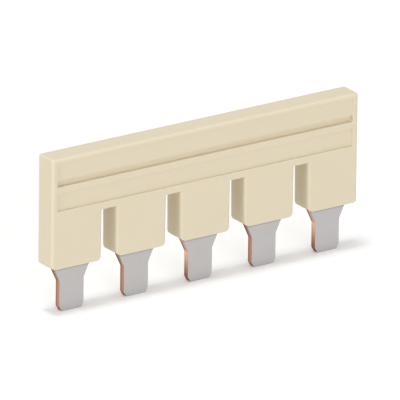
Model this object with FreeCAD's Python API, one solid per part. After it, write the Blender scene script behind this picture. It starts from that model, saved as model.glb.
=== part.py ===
import FreeCAD, Part
import math
import os

# Jumper bar for a row of terminal blocks: one stamped copper comb with a moulded plastic
# housing round its back bar and shanks. Only the blades of the comb stand out, downwards.
# Lengths are in millimetres. X runs along the bar, -Y is the marker side, Z points up,
# and the blade tips stand on Z = 0.

# Pattern of the terminal row
POLE_COUNT = 5
PITCH = 12.0

# Stamped comb
STRIP_THICKNESS = 1.1
BLADE_WIDTH = 4.5
BLADE_LENGTH = 7.6
SHANK_WIDTH = 7.0
SHOULDER_HEIGHT = 2.65
SHOULDER_ROOT_RADIUS = 0.8
TIP_CHAMFER_WIDTH = 0.5
TIP_CHAMFER_HEIGHT = 0.8
COMB_INNER_RADIUS = 0.8
COMB_CORNER_RADIUS = 0.4

# Walls of plastic round the comb
FRONT_WALL = 1.35
BACK_WALL = 1.35
END_WALL = 1.15
FINGER_SIDE_WALL = 1.1
TOP_WALL = 1.5
CROWN_WALL = 1.55

# Fingers of the housing, one round each shank
FINGER_LENGTH = 8.3
FINGER_DRAFT = 0.1

# Marker side of the bar, read from its top edge down
TOP_BORDER = 0.85
UPPER_FIELD_HEIGHT = 2.75
GROOVE_HEIGHT = 1.0
RIB_HEIGHT = 1.1
LOWER_FIELD_HEIGHT = 2.9
BOTTOM_BORDER = 1.15
END_BORDER = 1.0
UPPER_FIELD_DEPTH = 0.25
GROOVE_DEPTH = 0.75
LOWER_FIELD_DEPTH = 0.4
FIELD_CORNER_RADIUS = 0.25
FIELD_LIP_CHAMFER = 0.1

# Rounding of the housing's outer edges
FRONT_RIM_RADIUS = 0.45
BACK_RIM_CHAMFER = 0.1
TOP_CORNER_RADIUS = 0.3
FINGER_CORNER_RADIUS = 1.0
END_CORNER_RADIUS = 0.75

# Sizes that follow from the ones above
DEPTH = FRONT_WALL + STRIP_THICKNESS + BACK_WALL
FRONT_Y = -DEPTH / 2
BACK_Y = DEPTH / 2
COMB_Y = FRONT_Y + FRONT_WALL
BAR_HEIGHT = (TOP_BORDER + UPPER_FIELD_HEIGHT + GROOVE_HEIGHT + RIB_HEIGHT
              + LOWER_FIELD_HEIGHT + BOTTOM_BORDER)
FINGER_END_Z = BLADE_LENGTH
CROWN_Z = FINGER_END_Z + FINGER_LENGTH
TOP_Z = CROWN_Z + BAR_HEIGHT
ROW_LENGTH = (POLE_COUNT - 1) * PITCH
COMB_END_X = ROW_LENGTH / 2 + SHANK_WIDTH / 2
END_X = COMB_END_X + END_WALL
FINGER_TIP_HALF = SHANK_WIDTH / 2 + FINGER_SIDE_WALL
FINGER_ROOT_HALF = FINGER_TIP_HALF + FINGER_DRAFT

# How far a cutting tool runs past the face that it opens
OVERRUN = 1.0
# How close two coordinates are to count as the same
SAME = 1e-6
# The share of a wall that a rounding may take
ROUNDING_SHARE = 0.45
# The share of a side wall that a lower corner may take, so that it ends short of the comb
LOWER_CORNER_SHARE = 0.92


def limited(radius, wall, share=ROUNDING_SHARE):
    """A rounding radius, held back where the wall that carries it is too thin."""
    return min(radius, share * wall)


def pole_centres():
    """The X of each blade's centre line, from left to right."""
    return [pole * PITCH - ROW_LENGTH / 2 for pole in range(POLE_COUNT)]


def corner_arc(before, corner, after, radius):
    """Start, middle and end of the arc that rounds one corner of an outline."""
    to_before = (before - corner).normalize()
    to_after = (after - corner).normalize()
    half_angle = to_before.getAngle(to_after) / 2
    run = radius / math.tan(half_angle)
    bisector = (to_before + to_after).normalize()
    middle = corner + bisector * (radius / math.sin(half_angle) - radius)
    return corner + to_before * run, middle, corner + to_after * run


def rounded_face(corners, y):
    """A flat face in the plane Y = y, from corners given as (x, z, radius)."""
    points = [FreeCAD.Vector(x, y, z) for x, z, radius in corners]
    arcs = []
    for index, (x, z, radius) in enumerate(corners):
        corner = points[index]
        if radius > 0:
            arcs.append(corner_arc(points[index - 1], corner, points[(index + 1) % len(points)], radius))
        else:
            arcs.append((corner, corner, corner))
    edges = []
    for index, (start, middle, end) in enumerate(arcs):
        if start != end:
            edges.append(Part.Arc(start, middle, end).toShape())
        next_start = arcs[(index + 1) % len(arcs)][0]
        edges.append(Part.LineSegment(end, next_start).toShape())
    return Part.Face(Part.Wire(edges))


def extruded(face, depth):
    """A solid of the face, pushed towards +Y."""
    return face.extrude(FreeCAD.Vector(0, depth, 0))


def edges_at_y(solid, y):
    """The edges that lie flat in the plane Y = y."""
    return [edge for edge in solid.Edges
            if abs(edge.BoundBox.YMin - y) < SAME and abs(edge.BoundBox.YMax - y) < SAME]


def corner_edges(solid, places):
    """The straight edges along Y that stand at one of the (x, z) places."""
    found = []
    for edge in solid.Edges:
        box = edge.BoundBox
        if box.XLength > SAME or box.ZLength > SAME or box.YLength < SAME:
            continue
        if any(abs(box.XMin - x) < SAME and abs(box.ZMin - z) < SAME for x, z in places):
            found.append(edge)
    return found


def top_corners():
    """The two places where the bar's top meets its ends."""
    return [(-END_X, TOP_Z), (END_X, TOP_Z)]


def bar_block():
    """The long upper part: soft along its top and ends in front, crisp along its foot."""
    corners = [(x, z, 0) for x, z in top_corners()] + [(END_X, CROWN_Z, 0), (-END_X, CROWN_Z, 0)]
    block = extruded(rounded_face(corners, FRONT_Y), DEPTH)
    rim = [edge for edge in edges_at_y(block, FRONT_Y) if edge.CenterOfMass.z > CROWN_Z + SAME]
    block = block.makeFillet(limited(FRONT_RIM_RADIUS, DEPTH / 2), rim)
    return block.makeFillet(limited(TOP_CORNER_RADIUS, END_WALL), corner_edges(block, top_corners()))


def finger_face(centre, inner_radius, outer_radius):
    """One tapered finger seen from the front; the end fingers run out to the bar's ends.

    The outer radius rounds the two lower corners at the bar's ends, the inner one all others.
    """
    left_tip = centre - FINGER_TIP_HALF
    left_root = centre - FINGER_ROOT_HALF
    right_tip = centre + FINGER_TIP_HALF
    right_root = centre + FINGER_ROOT_HALF
    left_radius = right_radius = inner_radius
    if centre == pole_centres()[0]:
        left_tip = left_root = -END_X
        left_radius = outer_radius
    if centre == pole_centres()[-1]:
        right_tip = right_root = END_X
        right_radius = outer_radius
    return rounded_face([(left_root, CROWN_Z, 0), (right_root, CROWN_Z, 0),
                         (right_tip, FINGER_END_Z, right_radius),
                         (left_tip, FINGER_END_Z, left_radius)], FRONT_Y)


def finger(centre):
    """A finger with soft upright edges in front and a crisp, round-cornered lower end."""
    block = extruded(finger_face(centre, 0, 0), DEPTH)
    upright = [edge for edge in edges_at_y(block, FRONT_Y) if edge.BoundBox.ZLength > SAME]
    block = block.makeFillet(limited(FRONT_RIM_RADIUS, DEPTH / 2), upright)
    inner_radius = limited(FINGER_CORNER_RADIUS, FINGER_SIDE_WALL, LOWER_CORNER_SHARE)
    outer_radius = limited(END_CORNER_RADIUS, END_WALL, LOWER_CORNER_SHARE)
    return block.common(extruded(finger_face(centre, inner_radius, outer_radius), DEPTH))


def housing_body():
    """The outer form: the bar and its fingers as one, with the edges broken behind."""
    body = bar_block().multiFuse([finger(centre) for centre in pole_centres()]).removeSplitter()
    return body.makeChamfer(limited(BACK_RIM_CHAMFER, DEPTH / 2), edges_at_y(body, BACK_Y))


def field_tool(top, height, depth):
    """A rounded slab that cuts one recess into the marker side, a given way below the top."""
    radius = limited(FIELD_CORNER_RADIUS, height)
    right = END_X - END_BORDER
    high = TOP_Z - top
    low = high - height
    corners = [(-right, high, radius), (right, high, radius), (right, low, radius), (-right, low, radius)]
    return extruded(rounded_face(corners, FRONT_Y - OVERRUN), OVERRUN + depth)


def marker_fields():
    """The two marker recesses; the upper one has a deeper groove along its foot."""
    groove_top = TOP_BORDER + UPPER_FIELD_HEIGHT
    lower_top = groove_top + GROOVE_HEIGHT + RIB_HEIGHT
    upper = field_tool(TOP_BORDER, UPPER_FIELD_HEIGHT + GROOVE_HEIGHT, UPPER_FIELD_DEPTH)
    groove = field_tool(groove_top, GROOVE_HEIGHT, GROOVE_DEPTH)
    lower = field_tool(lower_top, LOWER_FIELD_HEIGHT, LOWER_FIELD_DEPTH)
    return upper.fuse(groove), lower


def field_lip_edges(solid):
    """The edges where the marker recesses open into the flat of the front face."""
    reach_x = END_X - END_BORDER + SAME
    low = CROWN_Z + BOTTOM_BORDER - SAME
    high = TOP_Z - TOP_BORDER + SAME
    return [edge for edge in edges_at_y(solid, FRONT_Y)
            if abs(edge.CenterOfMass.x) < reach_x and low < edge.CenterOfMass.z < high]


def comb_outline():
    """The comb as stamped: a back bar with one shouldered blade under each pole."""
    bar_top = TOP_Z - TOP_WALL
    bar_foot = CROWN_Z + CROWN_WALL
    shank = SHANK_WIDTH / 2
    blade = BLADE_WIDTH / 2
    tip = blade - TIP_CHAMFER_WIDTH
    neck_z = FINGER_END_Z - SHOULDER_HEIGHT
    centres = pole_centres()
    corners = [(-COMB_END_X, bar_top, COMB_CORNER_RADIUS), (COMB_END_X, bar_top, COMB_CORNER_RADIUS)]
    for centre in reversed(centres):
        if centre != centres[-1]:
            corners.append((centre + shank, bar_foot, COMB_INNER_RADIUS))
        corners.append((centre + shank, FINGER_END_Z, 0))
        corners.append((centre + blade, neck_z, SHOULDER_ROOT_RADIUS))
        corners.append((centre + blade, TIP_CHAMFER_HEIGHT, 0))
        corners.append((centre + tip, 0, 0))
        corners.append((centre - tip, 0, 0))
        corners.append((centre - blade, TIP_CHAMFER_HEIGHT, 0))
        corners.append((centre - blade, neck_z, SHOULDER_ROOT_RADIUS))
        corners.append((centre - shank, FINGER_END_Z, 0))
        if centre != centres[0]:
            corners.append((centre - shank, bar_foot, COMB_INNER_RADIUS))
    return rounded_face(corners, COMB_Y)


def contact_comb():
    """The copper comb, one flat stamping."""
    return extruded(comb_outline(), STRIP_THICKNESS)


def insulating_housing():
    """The moulded housing, with the comb's own form left open inside it."""
    housing = housing_body()
    for field in marker_fields():
        housing = housing.cut(field)
    housing = housing.makeChamfer(limited(FIELD_LIP_CHAMFER, LOWER_FIELD_DEPTH), field_lip_edges(housing))
    return housing.cut(contact_comb())


def export(node, shape):
    """Write one piece as its own file."""
    shape.exportStep(f"parts/{node}.step")


os.makedirs("parts", exist_ok=True)
export("insulating_housing", insulating_housing())
export("contact_comb", contact_comb())
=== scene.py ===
import math

import bmesh
import bpy
from mathutils import Matrix, Vector
from mathutils.geometry import tessellate_polygon


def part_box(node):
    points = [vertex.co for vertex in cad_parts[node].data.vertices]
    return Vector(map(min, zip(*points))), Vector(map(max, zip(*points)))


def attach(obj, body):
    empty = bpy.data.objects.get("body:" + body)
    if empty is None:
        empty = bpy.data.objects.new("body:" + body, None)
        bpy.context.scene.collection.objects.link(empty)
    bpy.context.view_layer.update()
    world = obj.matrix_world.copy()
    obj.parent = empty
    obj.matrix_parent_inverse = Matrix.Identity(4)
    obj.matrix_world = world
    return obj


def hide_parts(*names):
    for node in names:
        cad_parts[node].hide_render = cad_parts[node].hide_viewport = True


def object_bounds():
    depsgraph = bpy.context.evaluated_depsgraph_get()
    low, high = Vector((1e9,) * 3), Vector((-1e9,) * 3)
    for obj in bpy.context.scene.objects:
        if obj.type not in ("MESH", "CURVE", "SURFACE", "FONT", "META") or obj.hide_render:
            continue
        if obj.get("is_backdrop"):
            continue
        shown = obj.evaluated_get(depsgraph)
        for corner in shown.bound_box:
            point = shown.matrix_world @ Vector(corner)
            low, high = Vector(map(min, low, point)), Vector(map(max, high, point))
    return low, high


bl_info = {
    "name": "Terminal Jumper Bar",
    "version": (1, 0, 0),
    "blender": (4, 5, 0),
    "location": "View3D > Sidebar > Jumper Bar",
    "description": "Dresses a plug-in jumper bar: moulded housing, stamped comb and a plain studio",
    "category": "Object",
}

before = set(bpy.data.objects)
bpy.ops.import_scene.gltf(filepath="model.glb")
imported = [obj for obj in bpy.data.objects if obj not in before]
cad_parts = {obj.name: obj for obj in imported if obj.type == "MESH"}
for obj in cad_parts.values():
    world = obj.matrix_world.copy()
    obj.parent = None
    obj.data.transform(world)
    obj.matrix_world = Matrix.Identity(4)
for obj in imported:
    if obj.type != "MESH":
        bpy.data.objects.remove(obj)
CAD_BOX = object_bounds()
HOUSING_LOW, HOUSING_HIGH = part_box("insulating_housing")
COMB_LOW, COMB_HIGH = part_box("contact_comb")

MM = 0.001
# Closer than this, two mesh points are one
WELD = 1e-6
# Sides that turn by less than this are one line
STRAIGHT = 1e-6
# Edges that turn by more than this stay crisp
CRISP = math.radians(30)
# Steps that round a corner, the housing's rims in front and behind, and the lip of a recess
CORNER_STEPS, RIM_STEPS, BACK_RIM_STEPS, LIP_STEPS = 8, 8, 3, 4
# Steps that round the comb's edges in front, and that break those behind
ROLLOVER_STEPS, BURR_STEPS = 4, 1
# Draws which blades get the painted reflection on their edges
REFLECTION_SEED = 699.0

# Where the camera aims, before the picture is moved into its frame
AIM = Vector((0, 0.1 * MM, 12.65 * MM))
# Width of the camera's sensor in millimetres, and the nearest and farthest that it sees
SENSOR_WIDTH, NEAREST, FARTHEST = 36.0, 0.1, 20
# From the aim to each lamp, and the width of the large lamps and of the small one
LAMP_DISTANCE, LARGE_LAMP, SMALL_LAMP = 1.7, 1.2, 0.3
# The directions from the aim to the lamps
FRONT_WAY, LEFT_WAY, TOP_WAY = (-0.15, -1.0, 0.2), (-1.0, -0.15, 0.2), (-0.1, 0.0, 1.0)
# Half the floor's width, and its gap to the blade tips
FLOOR_REACH, FLOOR_GAP = 2.0, 0.02 * MM


# Settings that a user would change


class RowSettings(bpy.types.PropertyGroup):
    """The pattern that the housing and the comb share."""

    poles: bpy.props.IntProperty(
        name="Poles", description="Blades in the row", default=5, min=3, max=24)
    pitch: bpy.props.FloatProperty(
        name="Pitch", description="Distance from one blade to the next",
        default=12 * MM, unit="LENGTH", subtype="DISTANCE", precision=5)


class HousingSettings(bpy.types.PropertyGroup):
    """Sizes and colour of the moulded housing."""

    finger_tip: bpy.props.FloatProperty(
        name="Finger Tip Width", description="Width of a finger at its lower end",
        default=9.2 * MM, unit="LENGTH", subtype="DISTANCE", precision=5)
    finger_root: bpy.props.FloatProperty(
        name="Finger Root Width", description="Width of a finger where it leaves the bar",
        default=9.4 * MM, unit="LENGTH", subtype="DISTANCE", precision=5)
    finger_length: bpy.props.FloatProperty(
        name="Finger Length", description="From the bar's foot to the finger's lower end",
        default=8.3 * MM, unit="LENGTH", subtype="DISTANCE", precision=5)
    rim: bpy.props.FloatProperty(
        name="Rim Radius", description="Rounding of the upright and top edges in front",
        default=0.45 * MM, unit="LENGTH", subtype="DISTANCE", precision=5)
    back_rim: bpy.props.FloatProperty(
        name="Back Rim Radius", description="Rounding of the edges behind",
        default=0.1 * MM, unit="LENGTH", subtype="DISTANCE", precision=5)
    top_corner: bpy.props.FloatProperty(
        name="Top Corner Radius", description="Rounding of the bar's two upper corners",
        default=0.3 * MM, unit="LENGTH", subtype="DISTANCE", precision=5)
    finger_corner: bpy.props.FloatProperty(
        name="Finger Corner Radius", description="Rounding of the fingers' lower corners",
        default=1 * MM, unit="LENGTH", subtype="DISTANCE", precision=5)
    outer_corner: bpy.props.FloatProperty(
        name="Outer Corner Radius",
        description="Rounding of the two lower corners at the bar's ends",
        default=0.75 * MM, unit="LENGTH", subtype="DISTANCE", precision=5)
    colour: bpy.props.FloatVectorProperty(
        name="Plastic", description="Colour of the polyamide", subtype="COLOR",
        size=3, min=0, max=1, default=(0.755, 0.668, 0.5))
    grain: bpy.props.FloatProperty(
        name="Grain", description="Size of one grain of the mould's matt finish",
        default=0.16 * MM, unit="LENGTH", subtype="DISTANCE", precision=5)


class FieldSettings(bpy.types.PropertyGroup):
    """The long recesses for marker strips, measured down from the bar's top."""

    end_border: bpy.props.FloatProperty(
        name="End Border", description="Plastic left at each end of a recess",
        default=1 * MM, unit="LENGTH", subtype="DISTANCE", precision=5)
    upper_top: bpy.props.FloatProperty(
        name="Upper Field Top", description="Where the upper recess starts",
        default=0.85 * MM, unit="LENGTH", subtype="DISTANCE", precision=5)
    groove_top: bpy.props.FloatProperty(
        name="Groove Top", description="Where the groove in the upper recess starts",
        default=3.6 * MM, unit="LENGTH", subtype="DISTANCE", precision=5)
    groove_foot: bpy.props.FloatProperty(
        name="Groove Foot", description="Where the groove and the upper recess end",
        default=4.6 * MM, unit="LENGTH", subtype="DISTANCE", precision=5)
    lower_top: bpy.props.FloatProperty(
        name="Lower Field Top", description="Where the lower recess starts",
        default=5.7 * MM, unit="LENGTH", subtype="DISTANCE", precision=5)
    lower_foot: bpy.props.FloatProperty(
        name="Lower Field Foot", description="Where the lower recess ends",
        default=8.6 * MM, unit="LENGTH", subtype="DISTANCE", precision=5)
    upper_depth: bpy.props.FloatProperty(
        name="Upper Field Depth", description="Depth of the upper recess",
        default=0.25 * MM, unit="LENGTH", subtype="DISTANCE", precision=5)
    groove_depth: bpy.props.FloatProperty(
        name="Groove Depth", description="Depth of the groove",
        default=0.75 * MM, unit="LENGTH", subtype="DISTANCE", precision=5)
    lower_depth: bpy.props.FloatProperty(
        name="Lower Field Depth", description="Depth of the lower recess",
        default=0.4 * MM, unit="LENGTH", subtype="DISTANCE", precision=5)
    corner: bpy.props.FloatProperty(
        name="Field Corner Radius", description="Rounding of the recesses' corners",
        default=0.25 * MM, unit="LENGTH", subtype="DISTANCE", precision=5)
    lip: bpy.props.FloatProperty(
        name="Lip", description="Rounding where a recess opens into the front",
        default=0.1 * MM, unit="LENGTH", subtype="DISTANCE", precision=5)


class CombSettings(bpy.types.PropertyGroup):
    """Sizes and colours of the stamped comb."""

    blade: bpy.props.FloatProperty(
        name="Blade Width", description="Width of a blade below its shoulders",
        default=4.5 * MM, unit="LENGTH", subtype="DISTANCE", precision=5)
    shank: bpy.props.FloatProperty(
        name="Shank Width", description="Width of a blade inside its finger",
        default=7 * MM, unit="LENGTH", subtype="DISTANCE", precision=5)
    neck: bpy.props.FloatProperty(
        name="Neck Height", description="Height of the shoulders' foot over the blade tips",
        default=4.95 * MM, unit="LENGTH", subtype="DISTANCE", precision=5)
    neck_radius: bpy.props.FloatProperty(
        name="Neck Radius", description="Rounding where a shoulder runs into its blade",
        default=0.8 * MM, unit="LENGTH", subtype="DISTANCE", precision=5)
    tip_run: bpy.props.FloatProperty(
        name="Tip Chamfer Width", description="How far the tip's corners are cut back",
        default=0.5 * MM, unit="LENGTH", subtype="DISTANCE", precision=5)
    tip_rise: bpy.props.FloatProperty(
        name="Tip Chamfer Height", description="How far up the tip's corners are cut",
        default=0.8 * MM, unit="LENGTH", subtype="DISTANCE", precision=5)
    web: bpy.props.FloatProperty(
        name="Web Foot", description="Height of the back bar's foot over the blade tips",
        default=17.45 * MM, unit="LENGTH", subtype="DISTANCE", precision=5)
    web_radius: bpy.props.FloatProperty(
        name="Web Radius", description="Rounding between the back bar and a shank",
        default=0.8 * MM, unit="LENGTH", subtype="DISTANCE", precision=5)
    end_corner: bpy.props.FloatProperty(
        name="End Corner Radius", description="Rounding of the back bar's upper corners",
        default=0.4 * MM, unit="LENGTH", subtype="DISTANCE", precision=5)
    rollover: bpy.props.FloatProperty(
        name="Rollover", description="Rounding that the punch leaves along the front edges",
        default=0.07 * MM, unit="LENGTH", subtype="DISTANCE", precision=5)
    burr_edge: bpy.props.FloatProperty(
        name="Burr Edge", description="Broken edge behind, where the burr was taken off",
        default=0.03 * MM, unit="LENGTH", subtype="DISTANCE", precision=5)
    tin: bpy.props.FloatVectorProperty(
        name="Tin", description="Colour of the tinned faces", subtype="COLOR",
        size=3, min=0, max=1, default=(0.488, 0.471, 0.471))
    copper: bpy.props.FloatVectorProperty(
        name="Copper", description="Colour of the bare stamped edges", subtype="COLOR",
        size=3, min=0, max=1, default=(0.475, 0.24, 0.162))


class StageSettings(bpy.types.PropertyGroup):
    """Camera, lamps and floor."""

    turn: bpy.props.FloatProperty(
        name="Turn", description="How far the camera stands to the left of the front",
        default=math.radians(34.706), unit="ROTATION", subtype="ANGLE")
    height: bpy.props.FloatProperty(
        name="Height", description="Angle of the camera above the floor",
        default=math.radians(20.215), unit="ROTATION", subtype="ANGLE")
    roll: bpy.props.FloatProperty(
        name="Roll", description="How far the picture leans clockwise",
        default=math.radians(0.746), unit="ROTATION", subtype="ANGLE")
    distance: bpy.props.FloatProperty(
        name="Distance", description="From the camera to the middle of the bar",
        default=2.284, unit="LENGTH", subtype="DISTANCE")
    field: bpy.props.FloatProperty(
        name="Field", description="Width of the picture at the bar",
        default=61.9 * MM, unit="LENGTH", subtype="DISTANCE", precision=5)
    aside: bpy.props.FloatProperty(
        name="Aside", description="How far the camera is moved to its right",
        default=0.2306 * MM, unit="LENGTH", subtype="DISTANCE", precision=5)
    above: bpy.props.FloatProperty(
        name="Above", description="How far the camera is moved up",
        default=0.297 * MM, unit="LENGTH", subtype="DISTANCE", precision=5)
    ambient: bpy.props.FloatProperty(
        name="Ambient", description="Strength of the light from all round",
        default=0.55, min=0)
    front: bpy.props.FloatProperty(
        name="Front Light", description="Power of the large lamp in front, in watts",
        default=10.5, min=0)
    left: bpy.props.FloatProperty(
        name="Left Light", description="Power of the large lamp on the left, in watts",
        default=9.8, min=0)
    top: bpy.props.FloatProperty(
        name="Top Light", description="Power of the lamp overhead, in watts",
        default=8.4, min=0)
    glow: bpy.props.FloatProperty(
        name="Floor Glow", description="How much the floor is lifted towards white for the lens",
        default=0.125, min=0)


class JumperBarSettings(bpy.types.PropertyGroup):
    """All settings of the jumper bar."""

    row: bpy.props.PointerProperty(type=RowSettings)
    housing: bpy.props.PointerProperty(type=HousingSettings)
    fields: bpy.props.PointerProperty(type=FieldSettings)
    comb: bpy.props.PointerProperty(type=CombSettings)
    stage: bpy.props.PointerProperty(type=StageSettings)


# Node trees written as Python


class Value:
    """A socket of a node tree that takes part in Python expressions."""

    def __init__(self, tree, socket):
        self.tree = tree
        self.socket = socket

    def maths(self, operation, *values):
        node = self.tree.nodes.new("ShaderNodeMath")
        node.operation = operation
        for place, value in zip(node.inputs, values):
            connect(self.tree, value, place)
        return Value(self.tree, node.outputs[0])

    def __add__(self, other):
        return self.maths("ADD", self, other)

    def __radd__(self, other):
        return self.maths("ADD", other, self)

    def __sub__(self, other):
        return self.maths("SUBTRACT", self, other)

    def __rsub__(self, other):
        return self.maths("SUBTRACT", other, self)

    def __mul__(self, other):
        return self.maths("MULTIPLY", self, other)

    def __rmul__(self, other):
        return self.maths("MULTIPLY", other, self)

    def __truediv__(self, other):
        return self.maths("DIVIDE", self, other)

    def __rtruediv__(self, other):
        return self.maths("DIVIDE", other, self)

    def __abs__(self):
        return self.maths("ABSOLUTE", self)

    def __round__(self):
        return self.maths("ROUND", self)

    def most(self, other):
        return self.maths("MAXIMUM", self, other)


def connect(tree, value, place):
    """Link a Value to a socket, or write a plain number or colour into it."""
    if isinstance(value, Value):
        tree.links.new(value.socket, place)
    else:
        place.default_value = value


class Tree:
    """Adds nodes to a tree, one call for each."""

    def __init__(self, tree):
        self.tree = tree

    def feed(self, node, inputs):
        """Link Values to a node's sockets, or write plain numbers and colours into them."""
        for name, value in inputs.items():
            connect(self.tree, value, node.inputs[name])

    def node(self, kind, inputs=None, output=0, **settings):
        """A node of that kind, its settings first; gives back one output, or a list of several."""
        node = self.tree.nodes.new(kind)
        for name, setting in settings.items():
            setattr(node, name, setting)
        self.feed(node, inputs or {})
        if isinstance(output, (int, str)):
            return Value(self.tree, node.outputs[output])
        return [Value(self.tree, node.outputs[name]) for name in output]

    def ease(self, value, start, end, low=0.0, high=1.0):
        """Goes smoothly from low to high as the value goes from start to end."""
        ends = {"From Min": start, "From Max": end, "To Min": low, "To Max": high}
        return self.node("ShaderNodeMapRange", {"Value": value, **ends},
                         interpolation_type="SMOOTHSTEP")

    def blend(self, share, first, second):
        """A colour between two colours."""
        return self.node("ShaderNodeMix", {"Factor": share, "A": first, "B": second},
                         output="Result", data_type="RGBA")

    def shades(self, share, colour, low, high):
        """A colour whose parts are scaled by factors between low and high."""
        return self.blend(share, tinted(colour, low), tinted(colour, high))

    def noise(self, place, size, detail=2.0, stretch=(1, 1, 1), seed=0.0):
        """Cloudy noise whose clouds are about size across, longer where stretched."""
        scale = [1 / (size * factor) for factor in stretch]
        scaled = self.node("ShaderNodeMapping", {"Vector": place, "Scale": scale,
                                                 "Location": (seed, seed, seed)})
        return self.node("ShaderNodeTexNoise", {"Vector": scaled, "Scale": 1.0, "Detail": detail,
                                                "Roughness": 0.55})

    def bump(self, height, strength):
        """The normal of a surface with that height, in metres."""
        return self.node("ShaderNodeBump",
                         {"Strength": strength, "Distance": 1.0, "Height": height})


def new_material(name):
    """An empty material with its tree, its shader and the object's own coordinates."""
    material = bpy.data.materials.new(name)
    material.use_nodes = True
    tree = Tree(material.node_tree)
    shader = material.node_tree.nodes["Principled BSDF"]
    place = tree.node("ShaderNodeTexCoord", output="Object")
    return material, tree, shader, place


def opaque(colour):
    return (*colour, 1.0)


def tinted(colour, factors):
    """A colour with each part scaled by its own factor."""
    return opaque([min(1.0, part * factor) for part, factor in zip(colour, factors)])


def polyamide_material(settings):
    """Matt beige polyamide: the grain of the mould, and the faint clouds of its filling."""
    material, tree, shader, place = new_material("beige_polyamide")
    rosy = tinted(settings.colour, (1.012, 0.985, 0.985))
    burnt = tinted(settings.colour, (0.9, 0.88, 0.82))

    clouds = tree.noise(place, 7 * MM, detail=3, stretch=(2.2, 1, 1))
    warm = tree.noise(place, 3.4 * MM, detail=2, seed=4.0)
    specks = tree.noise(place, 0.1 * MM, detail=1, seed=9.0)
    mottled = tree.shades(clouds, settings.colour, (0.984, 0.982, 0.972), (1.016, 1.018, 1.028))
    warmed = tree.blend(tree.ease(warm, 0.45, 0.8, high=0.35), mottled, rosy)
    colour = tree.blend(tree.ease(specks, 0.7, 0.8, high=0.18), warmed, burnt)

    grain = tree.noise(place, settings.grain, detail=3, seed=2.0)
    sheen = tree.noise(place, 2.2 * MM, detail=2, seed=6.0)
    waves = tree.noise(place, 4 * MM, detail=1, seed=12.0)
    height = grain * (0.006 * MM) + waves * (0.012 * MM)
    tree.feed(shader, {"Base Color": colour, "Roughness": 0.57 + grain * 0.1 + sheen * 0.06,
                       "Normal": tree.bump(height, strength=0.6), "IOR": 1.53,
                       "Specular IOR Level": 0.42})
    return material


def strip_material(row, settings):
    """Tinned copper strip: tin on its two rolled faces, bare sheared copper on its edges."""
    material, tree, shader, place = new_material("tinned_copper_strip")
    across, depth, level = tree.node("ShaderNodeSeparateXYZ", {"Vector": place},
                                     output=("X", "Y", "Z"))
    half = (COMB_HIGH.y - COMB_LOW.y) / 2

    # The tin ends in a ragged line just before each edge
    ragged = tree.noise(place, 0.25 * MM, detail=3, seed=1.0)
    outwards = abs(depth) + (ragged - 0.5) * (0.05 * MM)
    plated = tree.ease(outwards, half - 0.06 * MM, half - 0.025 * MM)

    # Tin with the lines of the rolls, and a painted contact shadow just under the plastic
    rolling = tree.noise(place, 0.09 * MM, detail=2, stretch=(1, 1, 26), seed=3.0)
    crystals = tree.noise(place, 0.5 * MM, detail=3, seed=5.0)
    bright_tin = tree.shades(rolling * 0.5 + crystals * 0.5, settings.tin,
                             (0.93, 0.93, 0.93), (1.07, 1.07, 1.075))
    # Painted shadow: the tin darkens over the last stretch below the plastic
    painted_contact_shadow = tree.ease(level, HOUSING_LOW.z - 0.88 * MM, HOUSING_LOW.z - 0.6 * MM, high=0.7)
    tin = tree.blend(painted_contact_shadow, bright_tin, tinted(settings.tin, (0.5, 0.48, 0.55)))

    # Copper that the punch cut smoothly in front and tore behind
    shear = tree.noise(place, 0.06 * MM, detail=2, stretch=(1, 18, 1), seed=7.0)
    torn = tree.noise(place, 0.12 * MM, detail=3, stretch=(1, 0.8, 2.5), seed=8.0)
    fracture = tree.ease(depth + (torn - 0.5) * (0.25 * MM), 0.05 * MM, 0.2 * MM)
    burnished = tree.shades(shear, settings.copper, (0.86, 0.82, 0.8), (1.16, 1.2, 1.22))
    broken = tree.shades(torn, settings.copper, (0.6, 0.55, 0.52), (0.95, 0.93, 0.92))

    # Painted reflection on some blades' edges: bright at the shoulder, dark at the tip, strongest
    # along the middle of the edge
    pole = across / row.pitch + (row.poles - 1) / 2
    luck = tree.node("ShaderNodeTexWhiteNoise", {"W": round(pole) + REFLECTION_SEED},
                     noise_dimensions="1D")
    rise = tree.ease(level, 0.5 * MM, settings.neck + 0.65 * MM)
    # Painted reflection colours, from the dark foot up to the bright shoulder
    painted_reflection = tree.shades(rise, settings.copper, (0.5, 0.43, 0.45), (1.85, 2.25, 2.35))
    fading = tree.ease(abs(depth), 0.3 * MM, half, low=0.9, high=0.3)
    bright = tree.ease(luck, 0.4, 0.7) * fading
    sheared = tree.blend(bright, tree.blend(fracture, burnished, broken), painted_reflection)

    # Painted shade on the slanting edges, which face down: the shoulders, and the chamfers at the
    # tip, darker where the copper tore
    shoulder = tree.ease(level, settings.neck - 0.2 * MM, settings.neck + 0.4 * MM)
    chamfer = tree.ease(level, settings.tip_rise - 0.3 * MM, settings.tip_rise, low=1.0, high=0.0)
    # Painted shade: how far these downward edges are darkened
    painted_down_shade = shoulder.most(chamfer) * (0.38 + fracture * 0.45)
    copper = tree.blend(painted_down_shade, sheared, tinted(settings.copper, (0.22, 0.2, 0.22)))

    tin_roughness = 0.42 + rolling * 0.08 + crystals * 0.05
    copper_roughness = 0.36 + shear * 0.08 + fracture * 0.18
    roughness = copper_roughness + plated * (tin_roughness - copper_roughness)
    tin_height = rolling * (0.0015 * MM) + crystals * (0.002 * MM)
    copper_height = shear * (0.006 * MM) + fracture * torn * (0.02 * MM)
    height = copper_height + plated * (tin_height - copper_height)
    tree.feed(shader, {"Base Color": tree.blend(plated, copper, tin), "Metallic": 1.0,
                       "Roughness": roughness, "Normal": tree.bump(height, strength=0.7)})
    return material


# Outlines, and the meshes that are swept round them


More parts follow.
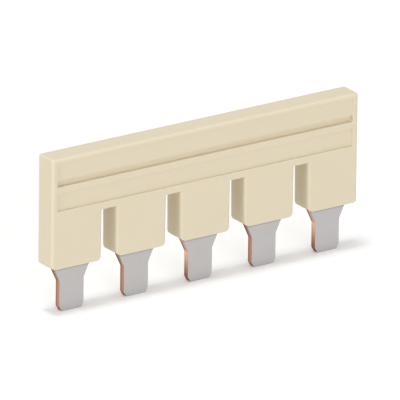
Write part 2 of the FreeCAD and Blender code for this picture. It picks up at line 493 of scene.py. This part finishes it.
class Corner:
    """A corner of an outline seen from the front, counterclockwise, with its rounding."""

    def __init__(self, x, z, radius=0.0, soft_before=False, soft_after=False, part=None):
        self.place = Vector((x, z))
        self.radius = radius
        # Whether the sides before and after it carry the soft rim
        self.soft_before = soft_before
        self.soft_after = soft_after
        # The repeated unit that the corner belongs to, if any
        self.part = part


def inward(direction):
    """The normal that points into an outline walked counterclockwise."""
    return Vector((-direction.y, direction.x))


def moved_corner(place, before, after, run_before, run_after):
    """Where two sides meet once each has moved inwards by its own distance."""
    normal_before = inward(before)
    normal_after = inward(after)
    along = (run_after - run_before * normal_before.dot(normal_after)) / before.dot(normal_after)
    return place + normal_before * run_before + before * along


def corner_points(corner, before, after, soft_run, all_run):
    """The points that round one corner, once its soft sides and all its sides moved inwards."""
    run_before = all_run + soft_run * corner.soft_before
    run_after = all_run + soft_run * corner.soft_after
    turn = math.atan2(before.cross(after), before.dot(after))
    if abs(turn) < STRAIGHT:
        return [corner.place + inward(before) * run_before]
    sharp = moved_corner(corner.place, before, after, run_before, run_after)
    if corner.radius == 0:
        return [sharp]
    bend = math.copysign(1, turn)
    radius = corner.radius - bend * all_run
    # A rim on one side only cuts into the arc and leaves the rest of it where it is
    clipped = run_before != run_after
    run = max(run_before, run_after)
    if clipped and run >= radius * (1 - math.cos(turn)):
        return [sharp] * (CORNER_STEPS + 1)
    limit = math.acos(1 - run / radius) if clipped else 0.0
    start = corner.place if clipped else sharp
    centre = start - before * (radius * math.tan(abs(turn) / 2)) + inward(before) * (radius * bend)
    points = []
    for step in range(CORNER_STEPS + 1):
        angle = turn * step / CORNER_STEPS
        if clipped:
            angle = max(angle, limit) if run_before > run_after else min(angle, turn - limit)
        spoke = inward(before) * (-bend * radius)
        spoke.rotate(Matrix.Rotation(angle, 2))
        points.append(centre + spoke)
    return points


def outline_points(corners, soft_run=0.0, all_run=0.0):
    """The points of every corner of an outline, in order, one list for each corner."""
    places = [corner.place for corner in corners]
    ways = [(after - place).normalized() for place, after in zip(places, places[1:] + places[:1])]
    return [corner_points(corner, ways[index - 1], ways[index], soft_run, all_run)
            for index, corner in enumerate(corners)]


def rounded_steps(radius, steps):
    """How far in and how far out each step of a quarter round lies, from the wall to the face."""
    angles = [math.pi / 2 * step / steps for step in range(steps + 1)]
    return [(radius * (1 - math.cos(angle)), radius * math.sin(angle)) for angle in angles]


def joined_points(lists):
    return [point for points in lists for point in points]


def joined_rings(rings):
    """Rings with all their points in one row, in place of one list for each corner."""
    return [(joined_points(lists), y) for lists, y in rings]


def walls(bm, rings, opened=()):
    """Quads between rings of (points, y) from back to front, except over the opened gaps."""
    rows = [[bm.verts.new((point.x, y, point.y)) for point in points] for points, y in rings]
    for behind, ahead in zip(rows, rows[1:]):
        for index in range(len(behind)):
            following = (index + 1) % len(behind)
            if index not in opened:
                bm.faces.new((behind[index], behind[following], ahead[following], ahead[index]))
    return rows


def distinct(row):
    """A closed row of points without those that lie on the one before."""
    pairs = zip(row, row[-1:] + row[:-1])
    return [vert for vert, last in pairs if (vert.co - last.co).length > WELD]


def cap(bm, *rows):
    """Fill the flat area inside the first row of points, leaving out the other rows' insides."""
    loops = [distinct(row) for row in rows]
    verts = joined_points(loops)
    for triangle in tessellate_polygon([[vert.co for vert in loop] for loop in loops]):
        bm.faces.new([verts[index] for index in triangle])


def finished_mesh(bm, name):
    """Hand over the mesh and let go of its workings."""
    mesh = bpy.data.meshes.new(name)
    bm.to_mesh(mesh)
    bm.free()
    return mesh


def swept_mesh(name, rings, opened):
    """The mesh through the rings with both its flats, open only where it joins the rest."""
    bm = bmesh.new()
    rows = walls(bm, rings, opened)
    cap(bm, rows[0])
    cap(bm, rows[-1])
    return finished_mesh(bm, name)


def closed_mesh(bm, name):
    """Merge what coincides, turn every face outwards and hand over the mesh."""
    bmesh.ops.remove_doubles(bm, verts=bm.verts, dist=WELD)
    bmesh.ops.dissolve_degenerate(bm, edges=bm.edges, dist=WELD)
    if any(not edge.is_manifold for edge in bm.edges):
        raise RuntimeError(f"{name} has an open edge")
    bmesh.ops.recalc_face_normals(bm, faces=bm.faces)
    return finished_mesh(bm, name)


def new_object(name, mesh):
    """An object at the origin that shows the mesh."""
    thing = bpy.data.objects.new(name, mesh)
    bpy.context.scene.collection.objects.link(thing)
    return thing


def evaluated_mesh(thing, name):
    """A plain mesh of the object with its modifiers applied."""
    depsgraph = bpy.context.evaluated_depsgraph_get()
    mesh = bpy.data.meshes.new_from_object(thing.evaluated_get(depsgraph), depsgraph=depsgraph)
    mesh.name = name
    return mesh


def take_away(thing):
    """Remove a helper object and its mesh."""
    mesh = thing.data
    bpy.data.objects.remove(thing)
    bpy.data.meshes.remove(mesh)


def row_tree():
    """Geometry nodes that set one unit under the base at every step of the pitch."""
    group = bpy.data.node_groups.new("pole_row", "GeometryNodeTree")
    kinds = {"Base": "Geometry", "Unit": "Object", "Units": "Int", "Pitch": "Float",
             "Finish": "Material"}
    for name, kind in kinds.items():
        group.interface.new_socket(name=name, in_out="INPUT", socket_type="NodeSocket" + kind)
    group.interface.new_socket(name="Row", in_out="OUTPUT", socket_type="NodeSocketGeometry")
    tree = Tree(group)
    base, unit, units, pitch, finish = tree.node("NodeGroupInput", output=tuple(kinds))

    first = tree.node("ShaderNodeCombineXYZ", {"X": (1 - units) * pitch / 2})
    stride = tree.node("ShaderNodeCombineXYZ", {"X": pitch})
    line = tree.node("GeometryNodeMeshLine",
                     {"Count": units, "Start Location": first, "Offset": stride})
    shape = tree.node("GeometryNodeObjectInfo", {"Object": unit}, output="Geometry")
    copies = tree.node("GeometryNodeInstanceOnPoints", {"Points": line, "Instance": shape})
    # Both links go into the one socket, so the second is made by itself
    joined = tree.node("GeometryNodeJoinGeometry", {"Geometry": base})
    tree.feed(joined.socket.node, {"Geometry": copies})
    real = tree.node("GeometryNodeRealizeInstances", {"Geometry": joined})
    done = tree.node("GeometryNodeSetMaterial", {"Geometry": real, "Material": finish})
    tree.node("NodeGroupOutput", {"Row": done}, output=())
    return group


def row_mesh(name, base, unit, units, pitch, material):
    """One closed mesh of a base with a row of equal units grown onto it."""
    group = bpy.data.node_groups.get("pole_row") or row_tree()
    base_object = new_object(name + "_base", base)
    unit_object = new_object(name + "_unit", unit)
    modifier = base_object.modifiers.new("Row", "NODES")
    modifier.node_group = group
    given = {"Unit": unit_object, "Units": units, "Pitch": pitch, "Finish": material}
    for item in group.interface.items_tree:
        if item.name in given:
            modifier[item.identifier] = given[item.name]
    row = evaluated_mesh(base_object, name)
    take_away(base_object)
    take_away(unit_object)
    bm = bmesh.new()
    bm.from_mesh(row)
    bpy.data.meshes.remove(row)
    mesh = closed_mesh(bm, name)
    mesh.materials.append(material)
    return mesh


def dressed(name, mesh, cutter=None):
    """The finished object: cut out where it is overmoulded, with true normals on its flats."""
    raw = new_object(name + "_raw", mesh)
    if cutter:
        cut = raw.modifiers.new("Cavity", "BOOLEAN")
        cut.operation = "DIFFERENCE"
        cut.solver = "EXACT"
        cut.object = cutter
        mesh = evaluated_mesh(raw, name)
        raw.modifiers.clear()
        raw.data = mesh
    bm = bmesh.new()
    bm.from_mesh(mesh)
    for face in bm.faces:
        face.smooth = True
    for edge in bm.edges:
        edge.smooth = len(edge.link_faces) == 2 and edge.calc_face_angle() < CRISP
    bm.to_mesh(mesh)
    bm.free()
    weighted = raw.modifiers.new("Normals", "WEIGHTED_NORMAL")
    weighted.keep_sharp = True
    piece = new_object(name, evaluated_mesh(raw, name))
    take_away(raw)
    return piece


def unit_edge(corners, index):
    """Whether a corner of a repeated unit is where the outline enters it, or leaves it."""
    part = corners[index].part
    return part != corners[index - 1].part, part != corners[(index + 1) % len(corners)].part


def base_rings(corners, rings):
    """Rings without the repeated units, and the places in them where a unit joins on."""
    kept, opened = [], set()
    place = 0
    for index, corner in enumerate(corners):
        enters, leaves = unit_edge(corners, index)
        if corner.part is None or enters or leaves:
            kept.append(index)
            place += len(rings[0][0][index])
            if corner.part is not None and enters:
                opened.add(place - 1)
    return [(joined_points(lists[index] for index in kept), y) for lists, y in rings], opened


def unit_rings(corners, rings, part, centre):
    """Rings of one repeated unit, brought to the middle, and the open place where it joins on."""
    own = [index for index, corner in enumerate(corners) if corner.part == part]
    shift = Vector((centre, 0))
    moved = [([point - shift for point in joined_points(lists[index] for index in own)], y)
             for lists, y in rings]
    return moved, {len(moved[0][0]) - 1}


def pole_place(row, pole):
    """Where a pole stands along the bar."""
    return (pole - (row.poles - 1) / 2) * row.pitch


# The housing


def housing_corners(row, housing):
    """The outline of bar and fingers, with a soft rim on all but the sides that face down."""
    foot = HOUSING_LOW.z
    crown = foot + housing.finger_length
    left, right, top = HOUSING_LOW.x, HOUSING_HIGH.x, HOUSING_HIGH.z
    tip, root = housing.finger_tip / 2, housing.finger_root / 2
    last = row.poles - 1
    corners = [Corner(left, top, housing.top_corner, soft_before=True, soft_after=True)]
    for pole in range(row.poles):
        centre = pole_place(row, pole)
        part = pole if 0 < pole < last else None
        if pole > 0:
            corners.append(Corner(centre - root, crown, soft_after=True, part=part))
        tip_left, left_corner = centre - tip, housing.finger_corner
        tip_right, right_corner = centre + tip, housing.finger_corner
        if pole == 0:
            tip_left, left_corner = left, housing.outer_corner
        if pole == last:
            tip_right, right_corner = right, housing.outer_corner
        corners.append(Corner(tip_left, foot, left_corner, soft_before=True, part=part))
        corners.append(Corner(tip_right, foot, right_corner, soft_after=True, part=part))
        if pole < last:
            corners.append(Corner(centre + root, crown, soft_before=True, part=part))
    corners.append(Corner(right, top, housing.top_corner, soft_before=True, soft_after=True))
    return corners


def housing_rings(corners, housing):
    """The housing's rings from the flat of its back to the flat of its front."""
    back = [(outline_points(corners, all_run=run), HOUSING_HIGH.y - housing.back_rim + out)
            for run, out in reversed(rounded_steps(housing.back_rim, BACK_RIM_STEPS))]
    front = [(outline_points(corners, soft_run=run), HOUSING_LOW.y + housing.rim - out)
             for run, out in rounded_steps(housing.rim, RIM_STEPS)]
    return back + front


def recess_corners(fields, top, foot, joints=()):
    """The outline of a recess from top to foot, with a corner on each side at every joint."""
    left, right = HOUSING_LOW.x + fields.end_border, HOUSING_HIGH.x - fields.end_border
    high, low = HOUSING_HIGH.z - top, HOUSING_HIGH.z - foot
    corners = [Corner(left, high, fields.corner)]
    corners += [Corner(left, HOUSING_HIGH.z - joint) for joint in joints]
    corners += [Corner(left, low, fields.corner), Corner(right, low, fields.corner)]
    corners += [Corner(right, HOUSING_HIGH.z - joint) for joint in reversed(joints)]
    return corners + [Corner(right, high, fields.corner)]


def lip_rings(fields, corners, depth):
    """Rings over the rounded lip of a recess and down its walls, from the bottom up."""
    front = HOUSING_LOW.y
    lip = [(outline_points(corners, all_run=-run), front + fields.lip - out)
           for run, out in rounded_steps(fields.lip, LIP_STEPS)]
    return [(outline_points(corners), front + depth)] + lip


def cut_lower_recess(bm, fields):
    """The plain lower recess; gives back the row of points where it opens into the front."""
    corners = recess_corners(fields, fields.lower_top, fields.lower_foot)
    rows = walls(bm, joined_rings(lip_rings(fields, corners, fields.lower_depth)))
    cap(bm, rows[0])
    return rows[-1]


def cut_upper_recess(bm, fields):
    """The upper recess with the deeper groove along its foot; gives back its opening's points."""
    # The recess's walls get a point where the groove's rounded corner begins
    joint = fields.groove_top + fields.corner
    corners = recess_corners(fields, fields.upper_top, fields.groove_foot, (joint,))
    rings = lip_rings(fields, corners, fields.upper_depth)
    rows = walls(bm, joined_rings(rings))

    # The flat above the groove: round the recess, then back over the groove's upper corners
    floor = HOUSING_LOW.y + fields.upper_depth
    top_left, joint_left, _, _, joint_right, top_right = rings[0][0]
    groove = outline_points(recess_corners(fields, fields.groove_top, fields.groove_foot))
    groove_left, _, _, groove_right = groove
    flat = joint_right + top_right + top_left + joint_left
    flat += groove_left[::-1][1:] + groove_right[::-1][:-1]
    cap(bm, [bm.verts.new((point.x, floor, point.y)) for point in flat])

    ring = joined_points(groove)
    deep = walls(bm, [(ring, HOUSING_LOW.y + fields.groove_depth), (ring, floor)])
    cap(bm, deep[0])
    return rows[-1]


class JUMPERBAR_OT_housing(bpy.types.Operator):
    """Mould the beige housing with its fingers and its recesses for marker strips."""

    bl_idname = "jumperbar.housing"
    bl_label = "Housing"

    def execute(self, context):
        settings = context.scene.jumper_bar
        row, housing, fields = settings.row, settings.housing, settings.fields
        corners = housing_corners(row, housing)
        rings = housing_rings(corners, housing)

        bm = bmesh.new()
        rows = walls(bm, *base_rings(corners, rings))
        cap(bm, rows[0])
        upper = cut_upper_recess(bm, fields)
        lower = cut_lower_recess(bm, fields)
        cap(bm, rows[-1], upper, lower)
        bar = finished_mesh(bm, "bar")
        finger = swept_mesh("finger", *unit_rings(corners, rings, 1, pole_place(row, 1)))

        mesh = row_mesh("housing_shell", bar, finger, row.poles - 2, row.pitch,
                        polyamide_material(housing))
        piece = dressed("housing_shell", mesh, bpy.data.objects["comb_strip"])
        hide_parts("insulating_housing")
        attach(piece, "root")
        return {"FINISHED"}


# The comb


def comb_corners(row, housing, comb):
    """The stamped outline: a back bar with one shouldered blade under each pole."""
    top, crown, foot = COMB_HIGH.z, HOUSING_LOW.z + housing.finger_length, HOUSING_LOW.z
    shank, blade = comb.shank / 2, comb.blade / 2
    tip = blade - comb.tip_run
    last = row.poles - 1
    # Down one side of a blade: half its width, the height and the rounding at each corner
    side = [(shank, crown, 0), (shank, foot, 0), (blade, comb.neck, comb.neck_radius),
            (blade, comb.tip_rise, 0), (tip, 0, 0)]
    corners = [Corner(COMB_LOW.x, top, comb.end_corner)]
    for pole in range(row.poles):
        x = pole_place(row, pole)
        if pole > 0:
            corners.append(Corner(x - shank, comb.web, comb.web_radius))
        corners += [Corner(x - half, z, radius, part=pole) for half, z, radius in side]
        corners += [Corner(x + half, z, radius, part=pole) for half, z, radius in reversed(side)]
        if pole < last:
            corners.append(Corner(x + shank, comb.web, comb.web_radius))
    corners.append(Corner(COMB_HIGH.x, top, comb.end_corner))
    return corners


def comb_rings(corners, comb):
    """The comb's rings from the flat of its back, over the broken edges, to that of its front."""
    back = [(outline_points(corners, all_run=run), COMB_HIGH.y - comb.burr_edge + out)
            for run, out in reversed(rounded_steps(comb.burr_edge, BURR_STEPS))]
    front = [(outline_points(corners, all_run=run), COMB_LOW.y + comb.rollover - out)
             for run, out in rounded_steps(comb.rollover, ROLLOVER_STEPS)]
    return back + front


class JUMPERBAR_OT_comb(bpy.types.Operator):
    """Stamp the tinned copper comb with its row of blades."""

    bl_idname = "jumperbar.comb"
    bl_label = "Comb"

    def execute(self, context):
        settings = context.scene.jumper_bar
        row, comb = settings.row, settings.comb
        corners = comb_corners(row, settings.housing, comb)
        rings = comb_rings(corners, comb)
        back_bar = swept_mesh("back_bar", *base_rings(corners, rings))
        blade = swept_mesh("blade", *unit_rings(corners, rings, 0, pole_place(row, 0)))

        mesh = row_mesh("comb_strip", back_bar, blade, row.poles, row.pitch,
                        strip_material(row, comb))
        piece = dressed("comb_strip", mesh)
        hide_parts("contact_comb")
        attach(piece, "root")
        return {"FINISHED"}


# The studio


def seen_rays(tree):
    """1 for what the lens sees, straight, mirrored or through glass, and 0 for what lights."""
    camera, glossy, transmission = tree.node("ShaderNodeLightPath", output=(
        "Is Camera Ray", "Is Glossy Ray", "Is Transmission Ray"))
    return camera.most(glossy).most(transmission)


def floor_material(glow):
    """A matt white floor, brighter to the lens than to the part, that keeps the part's shadow."""
    material, tree, shader, place = new_material("white_floor")
    seen = seen_rays(tree)
    fibres = tree.noise(place, 0.02, detail=2)
    lighting = tree.blend(fibres, opaque((0.79, 0.79, 0.785)), opaque((0.8, 0.8, 0.795)))
    shown = tree.blend(fibres, opaque((0.97, 0.97, 0.965)), opaque((0.98, 0.98, 0.975)))
    tree.feed(shader, {"Base Color": tree.blend(seen, lighting, shown),
                       "Roughness": 0.85 + fibres * 0.05, "Specular IOR Level": 0.1})
    lift = tree.node("ShaderNodeEmission",
                     {"Color": opaque((1.0, 1.0, 0.992)), "Strength": seen * glow})
    both = tree.node("ShaderNodeAddShader", {0: Value(tree.tree, shader.outputs[0]), 1: lift})
    tree.feed(material.node_tree.nodes["Material Output"], {"Surface": both})
    return material


def studio_world(ambient):
    """Even light from all round; white where the lens or a reflection looks past the floor."""
    world = bpy.data.worlds.new("studio")
    world.use_nodes = True
    tree = Tree(world.node_tree)
    strength = ambient + seen_rays(tree) * (1 - ambient)
    tree.feed(world.node_tree.nodes["Background"],
              {"Color": opaque((1, 1, 1)), "Strength": strength})
    bpy.context.scene.world = world


def camera_frame(turn, height, roll):
    """The camera's right, up and backward directions."""
    back = Vector((-math.sin(turn) * math.cos(height), -math.cos(turn) * math.cos(height),
                   math.sin(height)))
    right = Vector((math.cos(turn), -math.sin(turn), 0))
    up = Vector((math.sin(turn) * math.sin(height), math.cos(turn) * math.sin(height),
                 math.cos(height)))
    rolled_right = right * math.cos(roll) + up * math.sin(roll)
    rolled_up = up * math.cos(roll) - right * math.sin(roll)
    return rolled_right, rolled_up, back


def facing(right, up, back, place):
    """The placing of an object whose own axes point right, up and back."""
    turned = Matrix((right, up, back)).transposed().to_4x4()
    return Matrix.Translation(place) @ turned


def add_lamp(name, power, size, towards, middle):
    """A round soft lamp that faces the bar from the given direction."""
    lamp = bpy.data.lights.new(name, "AREA")
    lamp.shape = "DISK"
    lamp.size = size
    lamp.energy = power
    towards = Vector(towards).normalized()
    lamp_object = bpy.data.objects.new(name, lamp)
    lamp_object.matrix_world = (Matrix.Translation(middle + towards * LAMP_DISTANCE)
                                @ towards.to_track_quat("Z", "Y").to_matrix().to_4x4())
    bpy.context.scene.collection.objects.link(lamp_object)


class JUMPERBAR_OT_stage(bpy.types.Operator):
    """Set up the camera, the lamps and the white floor."""

    bl_idname = "jumperbar.stage"
    bl_label = "Stage"

    def execute(self, context):
        stage = context.scene.jumper_bar.stage
        right, up, back = camera_frame(stage.turn, stage.height, stage.roll)
        camera = bpy.data.cameras.new("camera")
        camera.sensor_width = SENSOR_WIDTH
        camera.lens = SENSOR_WIDTH * stage.distance / stage.field
        camera.clip_start, camera.clip_end = NEAREST, FARTHEST
        camera_object = bpy.data.objects.new("camera", camera)
        middle = AIM + (right * stage.aside + up * stage.above)
        camera_object.matrix_world = facing(right, up, back, middle + back * stage.distance)
        context.scene.collection.objects.link(camera_object)
        context.scene.camera = camera_object

        add_lamp("front", stage.front, LARGE_LAMP, FRONT_WAY, middle)
        add_lamp("left", stage.left, LARGE_LAMP, LEFT_WAY, middle)
        add_lamp("top", stage.top, SMALL_LAMP, TOP_WAY, middle)

        bm = bmesh.new()
        bmesh.ops.create_grid(bm, x_segments=1, y_segments=1, size=FLOOR_REACH)
        bmesh.ops.translate(bm, verts=bm.verts, vec=(0, 0, COMB_LOW.z - FLOOR_GAP))
        floor = new_object("floor", finished_mesh(bm, "floor"))
        floor.data.materials.append(floor_material(stage.glow))
        floor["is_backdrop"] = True

        studio_world(stage.ambient)
        context.scene.view_settings.view_transform = "Standard"
        return {"FINISHED"}


class JUMPERBAR_PT_panel(bpy.types.Panel):
    """The steps of the jumper bar, in the order in which they run."""

    bl_idname = "JUMPERBAR_PT_panel"
    bl_label = "Jumper Bar"
    bl_space_type = "VIEW_3D"
    bl_region_type = "UI"
    bl_category = "Jumper Bar"

    def draw(self, context):
        settings = context.scene.jumper_bar
        steps = (("comb", (settings.row, settings.comb)),
                 ("housing", (settings.housing, settings.fields)),
                 ("stage", (settings.stage,)))
        for step, groups in steps:
            box = self.layout.box()
            for group in groups:
                for name in group.__annotations__:
                    box.prop(group, name)
            box.operator("jumperbar." + step)


CLASSES = (RowSettings, HousingSettings, FieldSettings, CombSettings, StageSettings,
           JumperBarSettings, JUMPERBAR_OT_comb, JUMPERBAR_OT_housing, JUMPERBAR_OT_stage,
           JUMPERBAR_PT_panel)


def register():
    for item in CLASSES:
        bpy.utils.register_class(item)
    bpy.types.Scene.jumper_bar = bpy.props.PointerProperty(type=JumperBarSettings)


def unregister():
    del bpy.types.Scene.jumper_bar
    for item in reversed(CLASSES):
        bpy.utils.unregister_class(item)


def main():
    register()
    bpy.ops.jumperbar.comb()
    bpy.ops.jumperbar.housing()
    bpy.ops.jumperbar.stage()
    ({"cad": [list(corner) for corner in CAD_BOX],
               "visual": [list(corner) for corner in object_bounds()]})


if __name__ == "__main__":
    main()
